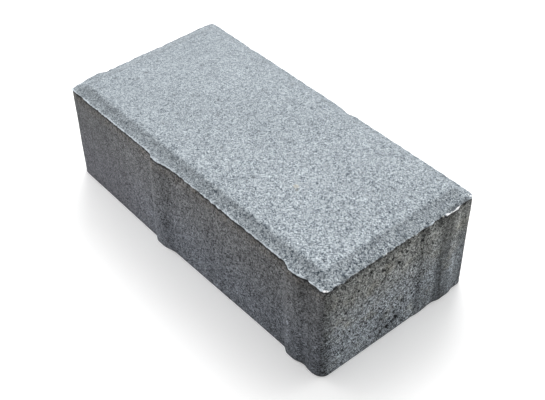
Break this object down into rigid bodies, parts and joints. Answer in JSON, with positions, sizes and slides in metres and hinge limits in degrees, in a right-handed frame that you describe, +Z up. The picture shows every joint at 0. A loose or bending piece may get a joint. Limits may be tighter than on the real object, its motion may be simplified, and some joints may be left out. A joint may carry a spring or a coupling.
{
  "type": "concrete paving stone",
  "caption": "Rectangular cast concrete paving stone with a dropped bevel round its sanded top face and low spacer nibs on its sides.",
  "frame": {"origin": "middle of the flat underside (the bed), midway between the nib crests each way", "axes": "+X along the length, +Y across the width, +Z up through the top face"},
  "size_m": [0.2, 0.1, 0.06],
  "materials": {
    "concrete": "matte, sandy, light blue-grey top and darker rougher sides"
  },
  "bodies": {
    "root": {"paving_block": "concrete"}
  },
  "joints": []
}
